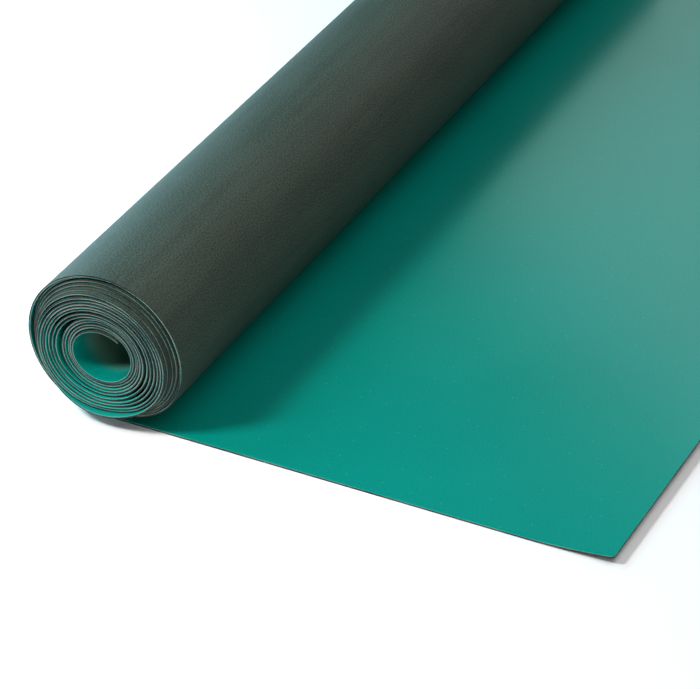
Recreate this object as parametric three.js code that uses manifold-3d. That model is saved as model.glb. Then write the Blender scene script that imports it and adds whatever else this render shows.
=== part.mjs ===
// Anti static bench mat: one rubber sheet, most of it rolled up, its last half metre laid out flat.
// Millimetres, +Z up. The roll's axis runs along Y and the laid out run points along +X.
// The roll is one turned solid with its bore, and its turns show on both of its ends.

import * as THREE from 'three';
import { mergeVertices } from 'three/addons/utils/BufferGeometryUtils.js';
import Module from 'manifold-3d';

// The sheet: its width across the roll and its thickness
const sheetWidth = 1200;
const sheetThickness = 2;

// The roll: its turns from the bore outwards, each with the air that it holds
const boreRadius = 28.5;
const turnCount = 18;
const turnPitch = 2.75;

// The roll spreads sideways under its weight, and its inner turns hang low on the outer ones
const rollSpread = 2.4;
const boreDrop = 10.9;

// The turns have crept along the axis: counted from the outermost turn, which is turn 0, the edges
// stand out further and further at the front from creepStart to creepTop, and less again to creepEnd
const creepReach = 18;
const creepStart = 3;
const creepTop = 6;
const creepEnd = 12;

// Between two turns there is a groove, this far below the lower of their edges
const grooveWidth = 0.75;
const grooveDepth = 2.5;

// The laid out run: from under the roll's middle to the free end, which curls up off the floor
const runLength = 514;
const curlLength = 97;
const curlLift = 6.9;

// Facets around the roll, and along the curl of the free end
const rollFacets = 40;
const curlFacets = 10;

const rollRadius = boreRadius + turnCount * turnPitch;
const rollHeight = 2 * (rollRadius - rollSpread);
const rollHalfWidth = rollRadius + rollSpread;

// The corners between facets stand out, so that the middle of each facet is at the true radius
const facetReach = 1 / Math.cos(Math.PI / rollFacets);

// How far the edges of one turn have crept towards the front
function creepOf(turn) {
  const rise = (turn - creepStart) / (creepTop - creepStart);
  const fall = (creepEnd - turn) / (creepEnd - creepTop);
  return creepReach * Math.max(0, Math.min(rise, fall));
}

// The closed half section of the roll: x is the radius, y is the place along the roll's axis
function rollSection() {
  const front = [];
  const back = [];
  for (let turn = turnCount - 1; turn >= 0; turn -= 1) {
    const outside = rollRadius - turn * turnPitch;
    const inside = outside - turnPitch;
    const wall = turn === 0 ? outside : outside - grooveWidth;
    const frontEdge = -creepOf(turn);
    const backEdge = sheetWidth - creepOf(turn);
    front.push(new THREE.Vector2(inside, frontEdge), new THREE.Vector2(wall, frontEdge));
    back.push(new THREE.Vector2(inside, backEdge), new THREE.Vector2(wall, backEdge));
    if (turn > 0) {
      const grooveMiddle = outside - grooveWidth / 2;
      const lessCreep = Math.min(creepOf(turn), creepOf(turn - 1));
      const moreCreep = Math.max(creepOf(turn), creepOf(turn - 1));
      front.push(new THREE.Vector2(grooveMiddle, grooveDepth - lessCreep));
      back.push(new THREE.Vector2(grooveMiddle, sheetWidth - moreCreep - grooveDepth));
    }
  }
  return [...front, ...back.reverse(), front[0].clone()];
}

// Settles a point of the round roll: its turn becomes an oval, and sinks with its depth in the roll
function settle(point) {
  const radius = Math.hypot(point.x, point.z);
  const sine = point.x / radius;
  const cosine = point.z / radius;
  const depth = (rollRadius - radius) / (rollRadius - boreRadius);
  point.x = (radius + rollSpread) * facetReach * sine;
  point.z = (radius - rollSpread) * facetReach * cosine + rollHeight / 2 - boreDrop * depth;
}

// The turned roll, with the middle of one facet resting on the floor
function rollGeometry() {
  const geometry = new THREE.LatheGeometry(rollSection(), rollFacets, Math.PI / rollFacets);
  const position = geometry.getAttribute('position');
  const point = new THREE.Vector3();
  for (let index = 0; index < position.count; index += 1) {
    point.fromBufferAttribute(position, index);
    settle(point);
    position.setXYZ(index, point.x, point.y, point.z);
  }
  return geometry;
}

// The laid out run, a strip of the sheet's thickness whose free end curls up on an arc
function runGeometry() {
  const curlStart = runLength - curlLength;
  const curlAngle = 2 * Math.atan(curlLift / curlLength);
  const curlRadius = curlLength / Math.sin(curlAngle);
  const under = [new THREE.Vector2(0, 0)];
  const over = [new THREE.Vector2(0, sheetThickness)];
  for (let step = 0; step <= curlFacets; step += 1) {
    const angle = (curlAngle * step) / curlFacets;
    const inner = curlRadius - sheetThickness;
    under.push(new THREE.Vector2(
      curlStart + curlRadius * Math.sin(angle),
      curlRadius * (1 - Math.cos(angle)),
    ));
    over.push(new THREE.Vector2(
      curlStart + inner * Math.sin(angle),
      curlRadius - inner * Math.cos(angle),
    ));
  }
  const outline = new THREE.Shape([...under, ...over.reverse()]);
  const geometry = new THREE.ExtrudeGeometry(outline, { depth: sheetWidth, bevelEnabled: false });
  geometry.rotateX(Math.PI / 2);
  geometry.translate(0, sheetWidth, 0);
  return geometry;
}

const wasm = await Module();
wasm.setup();

// A closed mesh as a solid that can be joined
function solidOf(geometry) {
  const bare = geometry.clone();
  bare.deleteAttribute('normal');
  bare.deleteAttribute('uv');
  const merged = mergeVertices(bare, 1e-4);
  return new wasm.Manifold(new wasm.Mesh({
    numProp: 3,
    vertProperties: new Float32Array(merged.getAttribute('position').array),
    triVerts: new Uint32Array(merged.getIndex().array),
  }));
}

// A solid as a mesh's geometry
function geometryOf(solid) {
  const mesh = solid.getMesh();
  const geometry = new THREE.BufferGeometry();
  geometry.setAttribute('position', new THREE.BufferAttribute(new Float32Array(mesh.vertProperties), 3));
  geometry.setIndex(new THREE.BufferAttribute(new Uint32Array(mesh.triVerts), 1));
  geometry.computeVertexNormals();
  return geometry;
}

const rubber = new THREE.MeshStandardMaterial({ color: 0x11876f, roughness: 0.5, metalness: 0 });

const mat = new THREE.Mesh(geometryOf(solidOf(rollGeometry()).add(solidOf(runGeometry()))), rubber);
mat.name = 'mat';

// The origin is the middle of the mat's outline on the floor
mat.position.x = -(runLength - rollHalfWidth) / 2;
mat.position.y = -(sheetWidth - creepReach) / 2;

const group = new THREE.Group();
group.add(mat);

export default group;
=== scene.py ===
"""Dresses the anti static bench mat: a two-layer rubber sheet, wound up with its last stretch laid out.

The sheet is modelled flat, as it leaves the press, and is then wound along its real path, so that every
turn is the same sheet: green work face inwards, charcoal backing outwards, both layers on the cut edges.
"""

import logging
import math
from collections.abc import Callable
from dataclasses import dataclass, field
from enum import Enum

import bmesh
import bpy
import numpy as np
from mathutils import Matrix, Quaternion, Vector


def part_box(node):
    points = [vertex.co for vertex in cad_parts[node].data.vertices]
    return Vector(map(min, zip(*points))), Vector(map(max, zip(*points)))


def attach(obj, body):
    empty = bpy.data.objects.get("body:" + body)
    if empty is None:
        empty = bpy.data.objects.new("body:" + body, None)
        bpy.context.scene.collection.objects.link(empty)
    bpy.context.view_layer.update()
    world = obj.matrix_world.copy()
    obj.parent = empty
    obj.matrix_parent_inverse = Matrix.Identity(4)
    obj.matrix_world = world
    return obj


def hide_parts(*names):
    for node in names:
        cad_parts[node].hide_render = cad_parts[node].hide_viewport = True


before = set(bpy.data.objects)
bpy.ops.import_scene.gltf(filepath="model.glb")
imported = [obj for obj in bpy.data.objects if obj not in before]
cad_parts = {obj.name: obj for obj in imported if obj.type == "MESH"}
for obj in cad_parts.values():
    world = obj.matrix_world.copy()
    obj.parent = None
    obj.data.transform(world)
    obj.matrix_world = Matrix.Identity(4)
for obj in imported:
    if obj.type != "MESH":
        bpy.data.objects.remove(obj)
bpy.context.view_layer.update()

log = logging.getLogger("bench_mat")

MM = 0.001
IMAGE_WIDTH_PX = 700
SHEET_UV = "sheet"
SHEET_WIDTH = 1.2
SHEET_THICKNESS = 2.0 * MM
RUN_LENGTH = 0.514
RUBBER_IOR = 1.5


def smooth_step(value: np.ndarray, start: float, end: float) -> np.ndarray:
    """Turns numbers into a smooth step, which also runs backwards.

    Args:
        value: The numbers.
        start: Where the step is still 0.
        end: Where the step has reached 1. It may lie below start.

    Returns:
        The step at each number, from 0 to 1.
    """
    share = np.clip((value - start) / (end - start), 0.0, 1.0)
    return share * share * (3.0 - 2.0 * share)


class Side(Enum):
    """The four sides of the roll, seen from its front end."""

    LEFT = "left"
    RIGHT = "right"
    TOP = "top"
    BOTTOM = "bottom"


@dataclass(frozen=True)
class Slack:
    """Air that was let into the roll at one place of the winding.

    Attributes:
        turn: Where the air starts, in turns inwards from the outermost one.
        spread: Over how many turns it comes in.
        left: Air on the roll's left side, in millimetres.
        right: Air on its right side.
        top: Air above the bore.
        bottom: Air below the bore.
    """

    turn: float
    spread: float
    left: float
    right: float
    top: float
    bottom: float

    def at(self, side: Side, turn: np.ndarray) -> np.ndarray:
        """Gives the air that has come in on one side by each turn, in metres.

        Args:
            side: The side of the roll.
            turn: Places along the winding, in turns.

        Returns:
            The air at each place.
        """
        air = getattr(self, side.value) * MM
        return air * smooth_step(turn, self.turn, self.turn + self.spread)


@dataclass(frozen=True)
class Creep:
    """A stretch of the winding whose edge has crept along the roll's axis.

    Attributes:
        rise: The turns between which it grows to its full reach.
        fall: The turns between which it dies away.
        out: How far the edge stands out at the front, in millimetres.
        lean: How sharply it is gathered at one place of each turn. With 0 it is the same all around.
        place: That place, in turns past the roll's lowest line.
    """

    rise: tuple[float, float]
    fall: tuple[float, float]
    out: float
    lean: int = 0
    place: float = 0.0

    def at(self, turn: np.ndarray) -> np.ndarray:
        """Gives how far the edge stands out at each turn, in metres.

        Args:
            turn: Places along the winding, in turns.

        Returns:
            The reach at each place.
        """
        reach = self.out * MM * smooth_step(turn, *self.rise) * smooth_step(turn, *reversed(self.fall))
        around = 0.5 + 0.5 * np.cos(2 * math.pi * (turn - self.place))
        return reach * around**self.lean


@dataclass
class Winding:
    """The path of the sheet's underside, from the inner tip of the roll to the free end.

    Lengths are in metres. The path lies in the XZ plane, with X = 0 and Z = 0 where the sheet leaves the
    roll and meets the floor. Turns are counted inwards from there.

    Attributes:
        thickness: The sheet's thickness.
        half_width: From the roll's lowest line to its outer side.
        height: The roll's height.
        run_length: From the roll's lowest line to the free end, as laid out.
        curl_length: How much of that curls up.
        curl_lift: How high the free end comes off the floor.
        turns: How many turns are wound.
        tight_pitch: The pitch of turns that lie tight.
        samples_per_turn: How finely the path is measured.
        bulge: How far the slack roll bulges out over the laid-out run.
        bulge_from: Where the bulge starts, as a share of each turn.
        bulge_top: Where it is fullest.
        bulge_fade: The turns between which it dies away.
        slacks: The air between the turns.
        creeps: Where the edge has crept along the axis.
        wavers: Small waves of the edge, each a reach, a rate and a start.
        turn_table: Turns at which the path is measured.
        length_table: The length of sheet from the roll's lowest line to each of them.
    """

    thickness: float
    half_width: float
    height: float
    run_length: float
    curl_length: float = 0.097
    curl_lift: float = 0.0069
    turns: float = 17.606
    tight_pitch: float = 2.05 * MM
    samples_per_turn: int = 240
    bulge: float = 6.0 * MM
    bulge_from: float = 0.62
    bulge_top: float = 0.895
    bulge_fade: tuple[float, float] = (6.3, 12.0)
    slacks: tuple[Slack, ...] = (
        Slack(turn=0.3, spread=5.0, left=1.5, right=2.4, top=4.1, bottom=0.1),
        Slack(turn=5.5, spread=1.8, left=1.6, right=1.6, top=3.6, bottom=0.5),
        Slack(turn=7.3, spread=2.5, left=0.9, right=2.6, top=2.6, bottom=0.4),
        Slack(turn=9.8, spread=2.6, left=1.8, right=5.6, top=5.8, bottom=0.6),
        Slack(turn=12.3, spread=1.0, left=3.8, right=1.9, top=1.8, bottom=0.2),
        Slack(turn=13.3, spread=3.3, left=0.5, right=2.4, top=4.0, bottom=0.4),
        Slack(turn=16.8, spread=0.7, left=0.3, right=1.0, top=2.2, bottom=0.1),
    )
    creeps: tuple[Creep, ...] = (
        Creep(rise=(0.6, 1.2), fall=(1.2, 3.2), out=-3.5),
        Creep(rise=(3.2, 5.5), fall=(9.4, 15.8), out=8.5),
        Creep(rise=(5.4, 5.6), fall=(6.2, 6.6), out=2.4),
        Creep(rise=(5.5, 5.6), fall=(6.4, 6.5), out=8.4, lean=7, place=-0.02),
        Creep(rise=(6.5, 6.7), fall=(6.7, 11.5), out=4.3, lean=1, place=0.07),
    )
    wavers: tuple[tuple[float, float, float], ...] = ((0.28 * MM, 4.1, 0.0), (0.18 * MM, 9.7, 1.0))
    turn_table: np.ndarray = field(init=False)
    length_table: np.ndarray = field(init=False)

    def __post_init__(self) -> None:
        """Measures the winding once, so that a length along the sheet gives its turn."""
        count = int(self.turns * self.samples_per_turn)
        self.turn_table = np.linspace(0.0, self.turns, count)
        under, inward = self.wound(self.turn_table)
        middle = under + inward * self.thickness / 2
        steps = np.hypot(*np.diff(middle, axis=0).T)
        self.length_table = np.concatenate([[0.0], np.cumsum(steps)])

    def inset(self, side: Side, turn: np.ndarray) -> np.ndarray:
        """Gives how far inside the roll's outline the sheet lies on one side.

        Args:
            side: The side of the roll.
            turn: Places along the winding, in turns.

        Returns:
            The inset at each place, in metres.
        """
        return self.tight_pitch * turn + sum(slack.at(side, turn) for slack in self.slacks)

    def bulged(self, turn: np.ndarray) -> np.ndarray:
        """Gives how far the slack roll bulges out, low on the side of the laid-out run.

        Args:
            turn: Places along the winding, in turns.

        Returns:
            The bulge at each place, in metres.
        """
        around = turn % 1.0
        rise = smooth_step(around, self.bulge_from, self.bulge_top)
        fall = smooth_step(around, 1.0, self.bulge_top)
        return self.bulge * np.minimum(rise, fall) * smooth_step(turn, *reversed(self.bulge_fade))

    def wound(self, turn: np.ndarray) -> tuple[np.ndarray, np.ndarray]:
        """Gives points on the sheet's underside in the roll, and the way inwards.

        Args:
            turn: Places along the winding, in turns.

        Returns:
            The points and the unit normals, as rows of X and Z.
        """
        quarter, half = np.array(0.25), np.array(0.5)
        full_width = self.half_width + float(self.inset(Side.LEFT, quarter))
        full_height = (self.height + float(self.inset(Side.TOP, half))) / 2

        def outline(place: np.ndarray) -> np.ndarray:
            left, right, top, bottom = (self.inset(side, place) for side in Side)
            angle = 2 * math.pi * place
            x = (left - right) / 2 - (full_width - (left + right) / 2) * np.sin(angle)
            z = full_height + (bottom - top) / 2 - (full_height - (top + bottom) / 2) * np.cos(angle)
            return np.stack([x + self.bulged(place), z], axis=-1)

        step = 0.25 / self.samples_per_turn
        along = outline(turn + step) - outline(turn - step)
        along /= np.hypot(along[:, 0], along[:, 1])[:, None]
        inward = np.stack([along[:, 1], -along[:, 0]], axis=-1)
        return outline(turn), inward

    def curl_radius(self) -> float:
        """Gives the radius that the free end's underside curls up on."""
        angle = 2 * math.atan(self.curl_lift / self.curl_length)
        return self.curl_length / math.sin(angle)

    def laid_length(self) -> float:
        """Gives the length of the sheet from the roll's lowest line to the free end."""
        angle = 2 * math.atan(self.curl_lift / self.curl_length)
        return self.run_length - self.curl_length + self.curl_radius() * angle

    def length(self) -> float:
        """Gives the length of the whole sheet."""
        return self.laid_length() + float(self.length_table[-1])

    def laid(self, reach: np.ndarray) -> tuple[np.ndarray, np.ndarray]:
        """Gives points on the laid-out run's underside, and the way up through the sheet.

        Args:
            reach: Lengths from the roll's lowest line towards the free end.

        Returns:
            The points and the unit normals, as rows of X and Z.
        """
        straight = self.run_length - self.curl_length
        angle = np.maximum(reach - straight, 0.0) / self.curl_radius()
        x = np.minimum(reach, straight) + self.curl_radius() * np.sin(angle)
        z = self.curl_radius() * (1.0 - np.cos(angle))
        return np.stack([x, z], axis=-1), np.stack([-np.sin(angle), np.cos(angle)], axis=-1)

    def edge_drift(self, turn: np.ndarray) -> np.ndarray:
        """Gives how far the sheet's edge stands out at the front, in metres.

        Args:
            turn: Places along the winding, in turns.

        Returns:
            The reach of the edge past the laid-out run's edge.
        """
        settled = np.clip(turn, 0.0, 1.0)
        waver = sum(reach * np.sin(rate * turn + start) for reach, rate, start in self.wavers)
        return sum(creep.at(turn) for creep in self.creeps) + settled * waver


class Value:
    """A number socket in a material, which takes the usual operators."""

    def __init__(self, finish: "Nodes", socket: bpy.types.NodeSocket) -> None:
        """Wraps one output socket.

        Args:
            finish: The nodes of the material that the socket is in.
            socket: The output socket.
        """
        self.finish = finish
        self.socket = socket

    def swing(self, strength: float) -> "Value":
        """Gives the pattern as a swing to both sides of 0.

        Args:
            strength: How wide it swings.

        Returns:
            The swing.
        """
        return (self - 0.5) * strength

    def _with(self, operation: str, first: "Value | float", second: "Value | float") -> "Value":
        """Adds one Math node and wraps its result."""
        return self.finish.number("ShaderNodeMath", {"operation": operation}, {0: first, 1: second})

    def __add__(self, other: "Value | float") -> "Value":
        """Adds."""
        return self._with("ADD", self, other)

    def __radd__(self, other: float) -> "Value":
        """Adds to a plain number."""
        return self._with("ADD", other, self)

    def __sub__(self, other: "Value | float") -> "Value":
        """Subtracts."""
        return self._with("SUBTRACT", self, other)

    def __rsub__(self, other: float) -> "Value":
        """Subtracts from a plain number."""
        return self._with("SUBTRACT", other, self)

    def __mul__(self, other: "Value | float") -> "Value":
        """Multiplies."""
        return self._with("MULTIPLY", self, other)

    def __rmul__(self, other: float) -> "Value":
        """Multiplies a plain number."""
        return self._with("MULTIPLY", other, self)


class Nodes:
    """The nodes of one material."""

    def __init__(self, name: str) -> None:
        """Starts a material that holds only its output and shader.

        Args:
            name: The material's name.
        """
        self.material = bpy.data.materials.new(name)
        self.material.use_nodes = True
        self.tree = self.material.node_tree
        self.shader = self.tree.nodes["Principled BSDF"]

    def node(self, kind: str, settings: dict, inputs: dict) -> bpy.types.Node:
        """Adds one node.

        Args:
            kind: The node's type.
            settings: The node's own properties, which are set first.
            inputs: Values or links for its sockets, by name or number.

        Returns:
            The node.
        """
        made = self.tree.nodes.new(kind)
        for name, value in settings.items():
            if name == "stops":
                self._set_stops(made.color_ramp, value)
            else:
                setattr(made, name, value)
        for name, value in inputs.items():
            self.feed(made.inputs[name], value)
        return made

    @staticmethod
    def _set_stops(ramp: bpy.types.ColorRamp, stops: list[tuple[float, tuple]]) -> None:
        """Sets a ramp's stops, each a place and a colour."""
        while len(ramp.elements) < len(stops):
            ramp.elements.new(1.0)
        for element, (place, colour) in zip(ramp.elements, stops):
            element.position = place
            element.color = (*colour, 1.0)

    def number(self, kind: str, settings: dict, inputs: dict, output: int | str = 0) -> Value:
        """Adds one node and wraps one of its outputs.

        Args:
            kind: The node's type.
            settings: The node's own properties.
            inputs: Values or links for its sockets.
            output: The output to wrap.

        Returns:
            The wrapped output.
        """
        return Value(self, self.node(kind, settings, inputs).outputs[output])

    def feed(self, socket: bpy.types.NodeSocket, value: object) -> None:
        """Links or sets one input socket.

        Args:
            socket: The input socket.
            value: A wrapped output, a number, a colour or a vector.
        """
        if isinstance(value, Value):
            self.tree.links.new(value.socket, socket)
        elif isinstance(value, tuple) and len(value) == 3 and socket.type == "RGBA":
            socket.default_value = (*value, 1.0)
        else:
            socket.default_value = value

    def sheet_place(self, stretch: tuple[float, float, float] = (1.0, 1.0, 1.0)) -> Value:
        """Gives the place on the flat sheet in metres, stretched where a pattern runs one way.

        Args:
            stretch: Scales along the sheet, across it and through it.

        Returns:
            The place as a vector.
        """
        uv = self.number("ShaderNodeUVMap", {"uv_map": SHEET_UV}, {}, "UV")
        return self.number("ShaderNodeMapping", {}, {"Vector": uv, "Scale": stretch}, "Vector")

    def split(self, place: Value) -> tuple[Value, Value]:
        """Gives the two numbers that a place on the sheet is made of."""
        parts = self.node("ShaderNodeSeparateXYZ", {}, {0: place}).outputs
        return Value(self, parts[0]), Value(self, parts[1])

    def grain(self, place: Value, per_metre: float, detail: float = 2.0, rough: float = 0.5) -> Value:
        """Gives a cloudy pattern from 0 to 1.

        Args:
            place: Where to read the pattern.
            per_metre: How many clouds lie in a metre.
            detail: How many finer layers it has.
            rough: How strong they are.

        Returns:
            The pattern.
        """
        inputs = {"Vector": place, "Scale": per_metre, "Detail": detail, "Roughness": rough}
        return self.number("ShaderNodeTexNoise", {"noise_dimensions": "2D"}, inputs, "Fac")

    def ramp(self, value: Value, start: float, end: float) -> Value:
        """Turns a number into a smooth step.

        Args:
            value: The number.
            start: Where the step is still 0.
            end: Where the step has reached 1.

        Returns:
            The step, from 0 to 1.
        """
        inputs = {"Value": value, "From Min": start, "From Max": end}
        return self.number("ShaderNodeMapRange", {"interpolation_type": "SMOOTHSTEP"}, inputs, "Result")

    def between(self, share: Value, low: Value | tuple, high: Value | tuple) -> Value:
        """Mixes two colours.

        Args:
            share: From 0, the first colour, to 1, the second.
            low: The first colour.
            high: The second colour.

        Returns:
            The mixed colour.
        """
        settings = {"data_type": "RGBA", "clamp_factor": True}
        return self.number("ShaderNodeMix", settings, {0: share, 6: low, 7: high}, 2)

    def relief(self, height: Value, depth: float, strength: float = 1.0) -> Value:
        """Turns a pattern into relief.

        Args:
            height: The pattern, from 0 to 1.
            depth: The relief's depth in metres.
            strength: How strongly it shows.

        Returns:
            The normal.
        """
        inputs = {"Height": height, "Distance": depth, "Strength": strength}
        return self.number("ShaderNodeBump", {}, inputs, "Normal")

    def finish(self, **sockets: object) -> bpy.types.Material:
        """Feeds the shader and gives the material.

        Args:
            **sockets: The shader's sockets, with _ for each space in their names.

        Returns:
            The finished material.
        """
        for name, value in sockets.items():
            self.feed(self.shader.inputs[name.replace("_", " ")], value)
        return self.material


@dataclass(frozen=True)
class WorkFace:
    """The green dissipative work face: satin, finely grained, with a few specks of dust.

    Deep in the bore the face is painted greyer, a painted shade for the shaded deep bore. Lengths are in
    metres.
    """

    name: str = "green_work_face"
    deep: tuple[float, float, float] = (0.0, 0.200, 0.158)
    light: tuple[float, float, float] = (0.001, 0.278, 0.224)
    speck: tuple[float, float, float] = (0.20, 0.42, 0.38)
    # Painted shade: a greyer colour for the innermost turn's face deep in the bore, where it starts and how
    # much of it is mixed in.
    bore_painted_shade: tuple[float, float, float] = (0.17, 0.25, 0.19)
    painted_shade_depth: tuple[float, float] = (0.016, 0.046)
    painted_shade_length: tuple[float, float] = (0.17, 0.21)
    painted_shade_share: float = 0.85
    clouds_per_metre: float = 5.0
    grains_per_metre: float = 800.0
    specks_per_metre: float = 28.0
    speck_edge: tuple[float, float] = (0.012, 0.022)
    speck_share: float = 0.35
    roughness: float = 0.20
    specular: float = 0.35
    grain_depth: float = 0.04 * MM

    def material(self) -> bpy.types.Material:
        """Builds the finish."""
        nodes = Nodes(self.name)
        place = nodes.sheet_place()
        clouds = nodes.grain(place, self.clouds_per_metre, detail=3.0)
        fine = nodes.grain(place, self.grains_per_metre, detail=2.0)
        share = clouds.swing(0.5) + fine.swing(2.4) + 0.5
        colour = nodes.between(share, self.deep, self.light)
        dots = nodes.number(
            "ShaderNodeTexVoronoi",
            {"voronoi_dimensions": "2D", "feature": "F1"},
            {"Vector": place, "Scale": self.specks_per_metre, "Randomness": 1.0},
            "Distance",
        )
        dust = nodes.ramp(dots, *reversed(self.speck_edge)) * self.speck_share
        specked = nodes.between(dust, colour, self.speck)
        # Painted shade greys the innermost turn's face deep in the bore.
        mixed = nodes.between(self._painted_bore_shade(nodes, clouds), specked, self.bore_painted_shade)
        rough = self.roughness - 0.04 + clouds * 0.05 + fine * 0.05
        normal = nodes.relief(fine, self.grain_depth, 0.7)
        level = {"Specular_IOR_Level": self.specular}
        return nodes.finish(Base_Color=mixed, Roughness=rough, Normal=normal, IOR=RUBBER_IOR, **level)

    def _painted_bore_shade(self, nodes: Nodes, clouds: Value) -> Value:
        """Gives how far the face gets the painted shade of the deep bore, which only the innermost turn has.
        """
        along, across = nodes.split(nodes.sheet_place())
        # The painted shade begins across the sheet where the light's shadow edge falls in the bore.
        deep = nodes.ramp(across + clouds * 0.004, *self.painted_shade_depth)
        inner = nodes.ramp(along, *reversed(self.painted_shade_length))
        return deep * inner * self.painted_shade_share


@dataclass(frozen=True)
class Backing:
    """The conductive charcoal backing: matt, finely pebbled, with a faint green cast."""

    name: str = "charcoal_backing"
    deep: tuple[float, float, float] = (0.018, 0.028, 0.020)
    light: tuple[float, float, float] = (0.056, 0.078, 0.061)
    clouds_per_metre: float = 9.0
    pebbles_per_metre: float = 620.0
    streak_stretch: tuple[float, float, float] = (90.0, 6.0, 1.0)
    roughness: float = 0.55
    specular: float = 0.25
    pebble_depth: float = 0.3 * MM

    def material(self) -> bpy.types.Material:
        """Builds the finish."""
        nodes = Nodes(self.name)
        place = nodes.sheet_place()
        clouds = nodes.grain(place, self.clouds_per_metre, detail=3.0)
        pebble = nodes.grain(place, self.pebbles_per_metre, detail=3.0, rough=0.6)
        streaks = nodes.grain(nodes.sheet_place(self.streak_stretch), 1.0, detail=4.0)
        share = clouds.swing(0.5) + pebble.swing(4.0) + streaks.swing(0.6) + 0.5
        colour = nodes.between(share, self.deep, self.light)
        rough = self.roughness - 0.06 + pebble * 0.10 + streaks * 0.06
        normal = nodes.relief(pebble, self.pebble_depth, 1.0)
        level = {"Specular_IOR_Level": self.specular}
        return nodes.finish(Base_Color=colour, Roughness=rough, Normal=normal, IOR=RUBBER_IOR, **level)


@dataclass(frozen=True)
class CutEdge:
    """A layer's cut edge: dull and patchy, with fine knife marks through the sheet.

    Painted shade darkens it towards the backing, beside the next turn, and a painted highlight makes it
    lightest next to the work face.
    """

    name: str
    deep: tuple[float, float, float]
    light: tuple[float, float, float]
    mark_stretch: tuple[float, float, float] = (900.0, 160.0, 1.0)
    patch_stretch: tuple[float, float, float] = (14.0, 0.0, 1.0)
    # Painted shade: the band through the sheet where the edge is darkened beside the next turn.
    groove_painted_shade: tuple[float, float] = (0.3 * MM, 1.0 * MM)
    # Painted highlight: the band through the sheet where the edge is lightened next to the work face.
    rim_painted_highlight: tuple[float, float] = (1.7 * MM, 1.95 * MM)
    roughness: float = 0.62
    specular: float = 0.2
    mark_depth: float = 0.04 * MM

    def material(self) -> bpy.types.Material:
        """Builds the finish."""
        nodes = Nodes(self.name)
        marks = nodes.grain(nodes.sheet_place(self.mark_stretch), 1.0, detail=3.0)
        patches = nodes.grain(nodes.sheet_place(self.patch_stretch), 1.0, detail=3.0)
        _, through = nodes.split(nodes.sheet_place())
        # Painted shade darkens the edge towards the backing, beside the next turn.
        painted_groove_shade = nodes.ramp(through, *reversed(self.groove_painted_shade)) * 1.2
        # Painted highlight lightens the edge next to the work face.
        painted_rim_highlight = nodes.ramp(through, *self.rim_painted_highlight) * 0.4
        share = marks.swing(1.3) + patches.swing(3.2) + 0.6 - painted_groove_shade + painted_rim_highlight
        colour = nodes.between(share, self.deep, self.light)
        rough = self.roughness - 0.05 + marks * 0.10
        normal = nodes.relief(marks, self.mark_depth, 0.6)
        level = {"Specular_IOR_Level": self.specular}
        return nodes.finish(Base_Color=colour, Roughness=rough, Normal=normal, **level)


class Layer(Enum):
    """What a face of the sheet belongs to, in the order of its material slots."""

    WORK_FACE = 0
    BACKING = 1
    GREEN_EDGE = 2
    CHARCOAL_EDGE = 3


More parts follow.
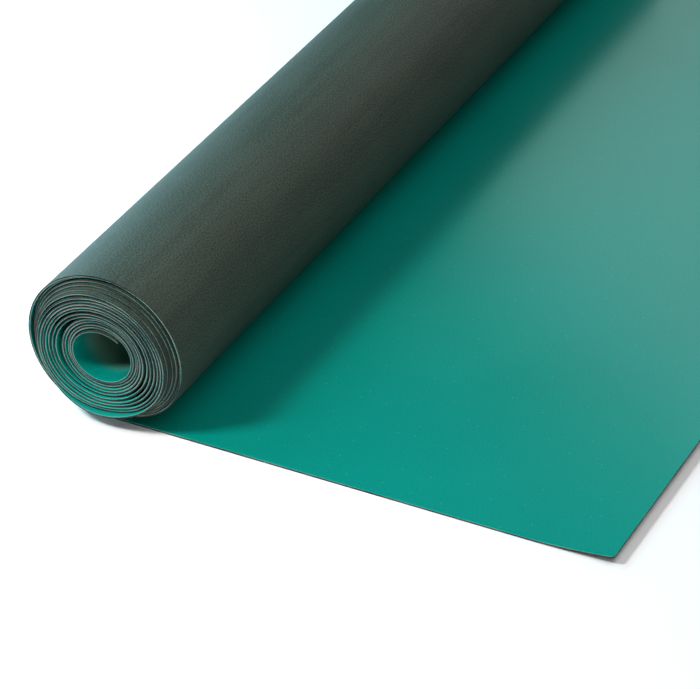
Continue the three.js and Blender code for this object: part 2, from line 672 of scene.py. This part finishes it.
@dataclass
class BenchMat:
    """The mat: one sheet, modelled flat and then wound up."""

    winding: Winding
    width: float
    front: float
    contact: float
    work_layer: float = 0.4 * MM
    rim_round: float = 0.28 * MM
    corner_round: float = 3.0 * MM
    first_cuts: int = 39
    second_cuts: int = 37
    width_bands: tuple[float, ...] = (0.004, 0.02, 0.1, 0.35, 0.6, 0.85, 1.1, 1.18, 1.196)

    def flat_sheet(self) -> bpy.types.Object:
        """Models the flat sheet from a block, its inner tip at X = 0 and its backing down.

        Returns:
            The sheet's object, cut into short steps along its length.
        """
        length, thickness = self.winding.length(), self.winding.thickness
        bpy.ops.object.select_all(action="DESELECT")
        bpy.ops.mesh.primitive_cube_add(size=1.0, location=(length / 2, self.width / 2, thickness / 2))
        sheet = bpy.context.active_object
        sheet.name = "mat_sheet"
        sheet.scale = (length, self.width, thickness)
        bpy.ops.object.transform_apply(location=True, rotation=False, scale=True)
        bpy.ops.object.mode_set(mode="EDIT")
        self._bisect((0.0, 0.0, thickness - self.work_layer), (0.0, 0.0, 1.0))
        for band in self.width_bands:
            self._bisect((0.0, band, 0.0), (0.0, 1.0, 0.0))
        for share in (0.05, 0.2, 0.5, 1.0):
            self._bisect((length - share * self.corner_round, 0.0, 0.0), (1.0, 0.0, 0.0))
        for cuts in (self.first_cuts, self.second_cuts):
            self._select_long_edges(sheet, 0.05)
            bpy.ops.mesh.subdivide(number_cuts=cuts)
        bpy.ops.object.mode_set(mode="OBJECT")
        return sheet

    @staticmethod
    def _bisect(place: tuple[float, float, float], normal: tuple[float, float, float]) -> None:
        """Cuts the whole sheet by a plane, and keeps both sides."""
        bpy.ops.mesh.select_all(action="SELECT")
        bpy.ops.mesh.bisect(plane_co=place, plane_no=normal)

    @staticmethod
    def _select_long_edges(sheet: bpy.types.Object, shortest: float) -> None:
        """Selects the edges that run along the sheet and are longer than a given length."""
        bpy.ops.mesh.select_all(action="DESELECT")
        mesh = bmesh.from_edit_mesh(sheet.data)
        for edge in mesh.edges:
            run = edge.verts[1].co - edge.verts[0].co
            edge.select_set(abs(run.x) > shortest and abs(run.x) > 0.999 * run.length)
        bmesh.update_edit_mesh(sheet.data)

    def round_rims(self, sheet: bpy.types.Object) -> None:
        """Rounds the free end's corners and all the rims of the flat sheet.

        Args:
            sheet: The flat sheet.
        """
        places = self._places(sheet)
        to_end = np.clip(self.winding.length() - places[:, 0], 0.0, self.corner_round)
        pull = self.corner_round - np.sqrt(self.corner_round**2 - (self.corner_round - to_end) ** 2)
        places[:, 1] = np.where(places[:, 1] < MM, places[:, 1] + pull, places[:, 1])
        places[:, 1] = np.where(places[:, 1] > self.width - MM, places[:, 1] - pull, places[:, 1])
        self._place(sheet, places)
        rims = sheet.modifiers.new("rims", "BEVEL")
        rims.width = self.rim_round
        rims.segments = 2
        rims.limit_method = "ANGLE"
        rims.angle_limit = math.radians(50.0)
        bpy.ops.object.modifier_apply(modifier=rims.name)

    def map_layers(self, sheet: bpy.types.Object, materials: list[bpy.types.Material]) -> None:
        """Gives each face its layer's finish and its place on the flat sheet, in metres.

        Args:
            sheet: The flat sheet.
            materials: The finishes, in the order of Layer.
        """
        mesh = sheet.data
        for material in materials:
            mesh.materials.append(material)
        seam = self.winding.thickness - self.work_layer
        uv = mesh.uv_layers.active or mesh.uv_layers.new()
        uv.name = SHEET_UV
        for face in mesh.polygons:
            up, on_end = face.normal.z, abs(face.normal.x) > 0.5
            if abs(up) > 0.5:
                layer = Layer.WORK_FACE if up > 0 else Layer.BACKING
            else:
                layer = Layer.GREEN_EDGE if face.center.z > seam else Layer.CHARCOAL_EDGE
            face.material_index = layer.value
            for corner in face.loop_indices:
                place = mesh.vertices[mesh.loops[corner].vertex_index].co
                if abs(up) > 0.5:
                    uv.data[corner].uv = (place.x, place.y)
                else:
                    uv.data[corner].uv = (place.y if on_end else place.x, place.z)

    def wind_up(self, sheet: bpy.types.Object) -> None:
        """Moves every point of the flat sheet to its place in the roll or the laid-out run.

        Args:
            sheet: The flat sheet.
        """
        winding = self.winding
        flat = self._places(sheet)
        reach = flat[:, 0] - float(winding.length_table[-1])
        turn = np.interp(np.maximum(-reach, 0.0), winding.length_table, winding.turn_table)
        laid, up = winding.laid(np.maximum(reach, 0.0))
        wound, inward = winding.wound(turn)
        in_run = (reach >= 0.0)[:, None]
        under, through = np.where(in_run, laid, wound), np.where(in_run, up, inward)
        section = under + through * flat[:, 2:3]
        y = self.front + flat[:, 1] - winding.edge_drift(turn)
        self._place(sheet, np.stack([self.contact + section[:, 0], y, section[:, 1]], axis=-1))

    @staticmethod
    def _places(sheet: bpy.types.Object) -> np.ndarray:
        """Gives the sheet's points as rows."""
        flat = np.empty(len(sheet.data.vertices) * 3, dtype=np.float32)
        sheet.data.vertices.foreach_get("co", flat)
        return flat.reshape(-1, 3).astype(float)

    @staticmethod
    def _place(sheet: bpy.types.Object, places: np.ndarray) -> None:
        """Sets the sheet's points from rows."""
        sheet.data.vertices.foreach_set("co", places.astype(np.float32).ravel())
        sheet.data.update()

    def build(self) -> bpy.types.Object:
        """Builds and dresses the mat.

        Returns:
            The mat's object.
        """
        sheet = self.flat_sheet()
        self.round_rims(sheet)
        finishes = [
            WorkFace().material(),
            Backing().material(),
            CutEdge("green_cut_edge", deep=(0.03, 0.19, 0.17), light=(0.13, 0.42, 0.40)).material(),
            CutEdge("charcoal_cut_edge", deep=(0.008, 0.010, 0.008), light=(0.135, 0.128, 0.100)).material(),
        ]
        self.map_layers(sheet, finishes)
        self.wind_up(sheet)
        bpy.ops.object.shade_smooth_by_angle(angle=math.radians(40.0))
        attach(sheet, "root")
        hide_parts("mat")
        self.winding.length()
        log.info("mat_sheet: %.2f m long, %d faces", self.winding.length(), len(sheet.data.polygons))
        return sheet


@dataclass(frozen=True)
class SoftBox:
    """A rectangular studio light.

    Attributes:
        name: Its name.
        place: Its middle, in metres.
        aim: The point that it faces.
        size: Its width and height, in metres.
        radiance: How bright its face is.
        tint: The colour of its light.
        turn: How far it is turned about the line to that point, in degrees.
    """

    name: str
    place: tuple[float, float, float]
    aim: tuple[float, float, float]
    size: tuple[float, float]
    radiance: float
    tint: tuple[float, float, float] = (1.0, 1.0, 1.0)
    turn: float = 0.0

    def add(self) -> None:
        """Adds the light to the scene."""
        data = bpy.data.lights.new(self.name, "AREA")
        data.shape = "RECTANGLE"
        data.size, data.size_y = self.size
        data.energy = self.radiance * math.pi * self.size[0] * self.size[1]
        data.color = self.tint
        light = bpy.data.objects.new(self.name, data)
        bpy.context.scene.collection.objects.link(light)
        away = Vector(self.place) - Vector(self.aim)
        light.location = self.place
        light.rotation_mode = "QUATERNION"
        spin = Quaternion((0.0, 0.0, 1.0), math.radians(self.turn))
        light.rotation_quaternion = away.to_track_quat("Z", "Y") @ spin


@dataclass
class Studio:
    """The floor, the light and the camera.

    The camera's place is measured from the point of the floor where the laid-out run leaves the roll, at
    the mat's front edge.
    """

    corner: Vector
    azimuth: float = 25.33
    elevation: float = 32.56
    roll: float = 1.21
    focal_px: float = 3597.7
    camera_place: tuple[float, float, float] = (1.4027, -2.4319, 1.8720)
    floor_colour: tuple[float, float, float] = (0.90, 0.90, 0.90)
    surround_strength: float = 0.03
    lights: tuple[SoftBox, ...] = (
        SoftBox("key", (-0.85, -1.25, 1.15), (-0.10, -0.45, 0.05), (0.3, 0.3), 76.0),
        SoftBox("overhead_fill", (0.6, -0.6, 2.1), (0.1, -0.2, 0.0), (2.0, 2.0), 1.7),
        SoftBox("right_fill", (0.9, -1.6, 0.7), (-0.1, -0.3, 0.1), (0.8, 0.8), 2.5),
        SoftBox("back_panel", (0.09, 1.50, 0.93), (0.09, 0.0, 0.93), (1.8, 1.1), 1.2, turn=-36.0),
        SoftBox("left_panel", (-1.35, -0.12, 0.65), (-0.1, -0.1, 0.0), (1.6, 1.1), 5.4, (0.44, 0.83, 1.0)),
    )

    def add_camera(self) -> None:
        """Adds the camera at the photograph's view."""
        azimuth, elevation, roll = (math.radians(a) for a in (self.azimuth, self.elevation, self.roll))
        back = Vector((
            math.sin(azimuth) * math.cos(elevation),
            -math.cos(azimuth) * math.cos(elevation),
            math.sin(elevation),
        ))
        right = Vector((math.cos(azimuth), math.sin(azimuth), 0.0))
        up = back.cross(right)
        across = right * math.cos(roll) + up * math.sin(roll)
        upright = up * math.cos(roll) - right * math.sin(roll)
        data = bpy.data.cameras.new("camera")
        data.sensor_width = 36.0
        data.lens = data.sensor_width * self.focal_px / IMAGE_WIDTH_PX
        data.clip_start, data.clip_end = 0.05, 100.0
        camera = bpy.data.objects.new("camera", data)
        bpy.context.scene.collection.objects.link(camera)
        turned = Matrix((across, upright, back)).transposed().to_4x4()
        camera.matrix_world = Matrix.Translation(self.corner + Vector(self.camera_place)) @ turned
        bpy.context.scene.camera = camera

    def add_floor(self) -> None:
        """Adds the plain pale floor."""
        bpy.ops.object.select_all(action="DESELECT")
        bpy.ops.mesh.primitive_plane_add(size=40.0, location=(0.0, 0.0, -0.0002))
        floor = bpy.context.active_object
        floor.name = "floor"
        nodes = Nodes("pale_floor")
        floor.data.materials.append(nodes.finish(Base_Color=self.floor_colour, Roughness=0.9))

    def add_surround(self) -> None:
        """Adds the studio's dim, even surround."""
        world = bpy.data.worlds.new("surround")
        world.use_nodes = True
        background = world.node_tree.nodes["Background"]
        background.inputs["Color"].default_value = (1.0, 1.0, 1.0, 1.0)
        background.inputs["Strength"].default_value = self.surround_strength
        bpy.context.scene.world = world

    def build(self) -> None:
        """Builds the studio."""
        self.add_camera()
        self.add_floor()
        self.add_surround()
        for light in self.lights:
            light.add()
        bpy.context.scene.view_settings.view_transform = "Standard"
        log.info("studio: floor, surround, %d lights and the camera", len(self.lights))


def main() -> None:
    """Builds the mat and its studio."""
    logging.basicConfig(level=logging.INFO, format="%(name)s %(message)s")
    low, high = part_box("mat")
    contact = high.x - RUN_LENGTH
    front = high.y - SHEET_WIDTH
    winding = Winding(
        thickness=SHEET_THICKNESS,
        half_width=contact - low.x,
        height=high.z - low.z,
        run_length=RUN_LENGTH,
    )
    Studio(corner=Vector((contact, front, 0.0))).build()
    BenchMat(winding=winding, width=SHEET_WIDTH, front=front, contact=contact).build()


if __name__ == "__main__":
    main()
